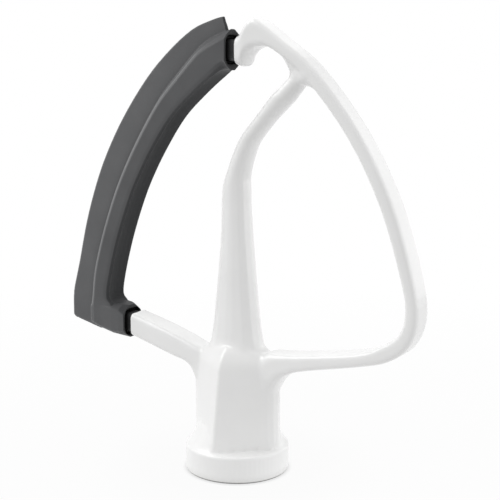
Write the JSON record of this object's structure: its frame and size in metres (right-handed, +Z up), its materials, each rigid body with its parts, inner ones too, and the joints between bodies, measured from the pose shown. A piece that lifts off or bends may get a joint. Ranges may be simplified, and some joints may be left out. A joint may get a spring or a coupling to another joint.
{
  "type": "stand mixer flat beater",
  "caption": "White coated cast flat beater with a curved spine in an open frame and a dark flexible scraping edge on one side, on a round bayonet hub.",
  "frame": {"origin": "on the hub's axis, in the plane of the collar's lower face, which the beater stands on", "axes": "+Z up along the hub's axis from the collar to the tip, +X along the blade towards the bare arm, +Y across the blade"},
  "size_m": [0.159, 0.0408, 0.1762],
  "materials": {
    "white_coating": "gloss",
    "grey_elastomer": "matte"
  },
  "bodies": {
    "root": {"beater_frame": "white_coating", "flex_edge": "grey_elastomer"}
  },
  "joints": []
}
